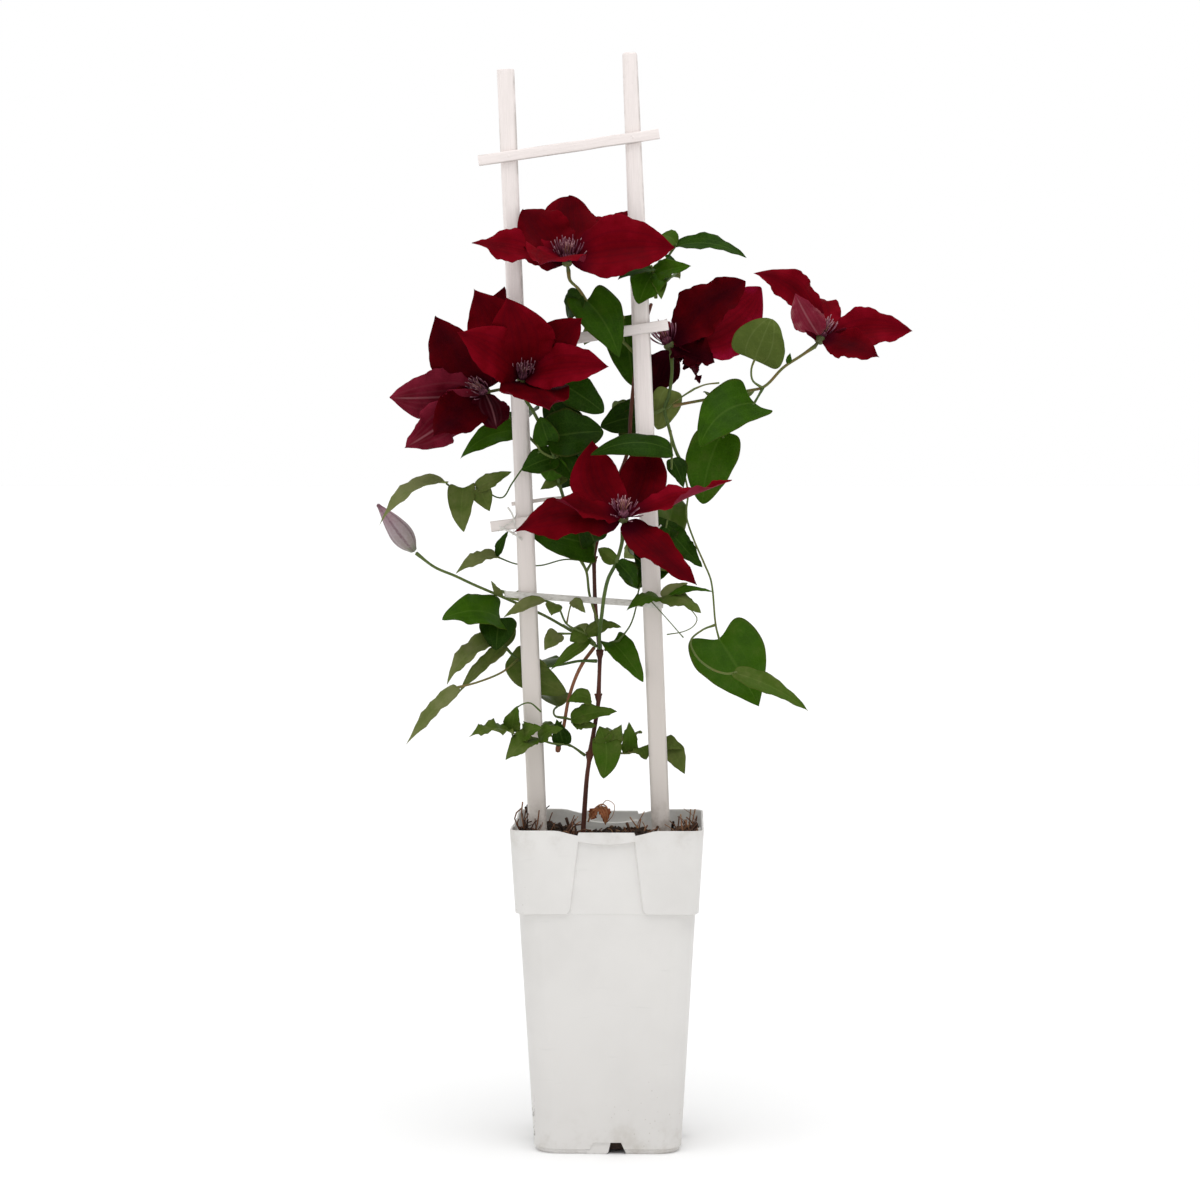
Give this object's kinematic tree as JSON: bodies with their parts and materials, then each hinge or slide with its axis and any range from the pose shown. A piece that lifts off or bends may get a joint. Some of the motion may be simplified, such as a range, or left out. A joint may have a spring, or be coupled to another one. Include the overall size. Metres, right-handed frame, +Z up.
{
  "type": "potted clematis plant on a trellis",
  "caption": "Climbing clematis in bloom, tied to a small white ladder trellis that stands in its square plastic nursery pot.",
  "frame": {"origin": "middle of the pot's underside, on the surface it stands on", "axes": "+Z up the plant, +X to its right and -Y out of its front, where most of the flowers face"},
  "size_m": [0.363, 0.1671, 0.742],
  "materials": {
    "pot_plastic": "satin grey-white moulded plastic with flecks of soil",
    "potting_soil": "damp dark brown crumbs with roots and straws",
    "painted_wood": "off-white paint with faint grain",
    "tie_plastic": "pale grey-white flat strip",
    "bark": "dark red-brown ribbed bark",
    "young_bark": "salmon-brown smooth shoot",
    "dry_foliage": "withered orange-brown leaf",
    "foliage": "dark green leaf with paler veins and underside",
    "petals": "velvety dark red, paler bars on the reverse",
    "stamens": "dark purple anthers on pale pink filaments",
    "bud_skin": "downy mauve-grey"
  },
  "bodies": {
    "root": {"pot": "pot_plastic", "soil": "potting_soil", "trellis_upright_left": "painted_wood", "trellis_upright_right": "painted_wood", "trellis_rung_top": "painted_wood", "trellis_rung_middle": "painted_wood", "trellis_rung_low": "painted_wood", "trellis_brace_back": "painted_wood", "tie_strip": "tie_plastic", "stem_main": "bark", "stem_side_shoot": "young_bark", "dry_leaf": "dry_foliage", "spray_top": "foliage", "spray_upper": "foliage", "spray_left_high": "foliage", "spray_right_high": "foliage", "spray_far_right": "foliage", "spray_centre": "foliage", "spray_bud": "foliage", "spray_left": "foliage", "spray_mid": "foliage", "spray_right": "foliage", "spray_hanging": "foliage", "spray_low_left": "foliage", "spray_low_centre": "foliage", "spray_low_right": "foliage", "bloom_top": "petals", "stamens_top": "stamens", "bloom_front_left": "petals", "stamens_front_left": "stamens", "bloom_back_left": "petals", "stamens_back_left": "stamens", "bloom_centre": "petals", "stamens_centre": "stamens", "bloom_right": "petals", "stamens_right": "stamens", "bloom_far_right": "petals", "stamens_far_right": "stamens", "bud": "bud_skin"}
  },
  "joints": []
}
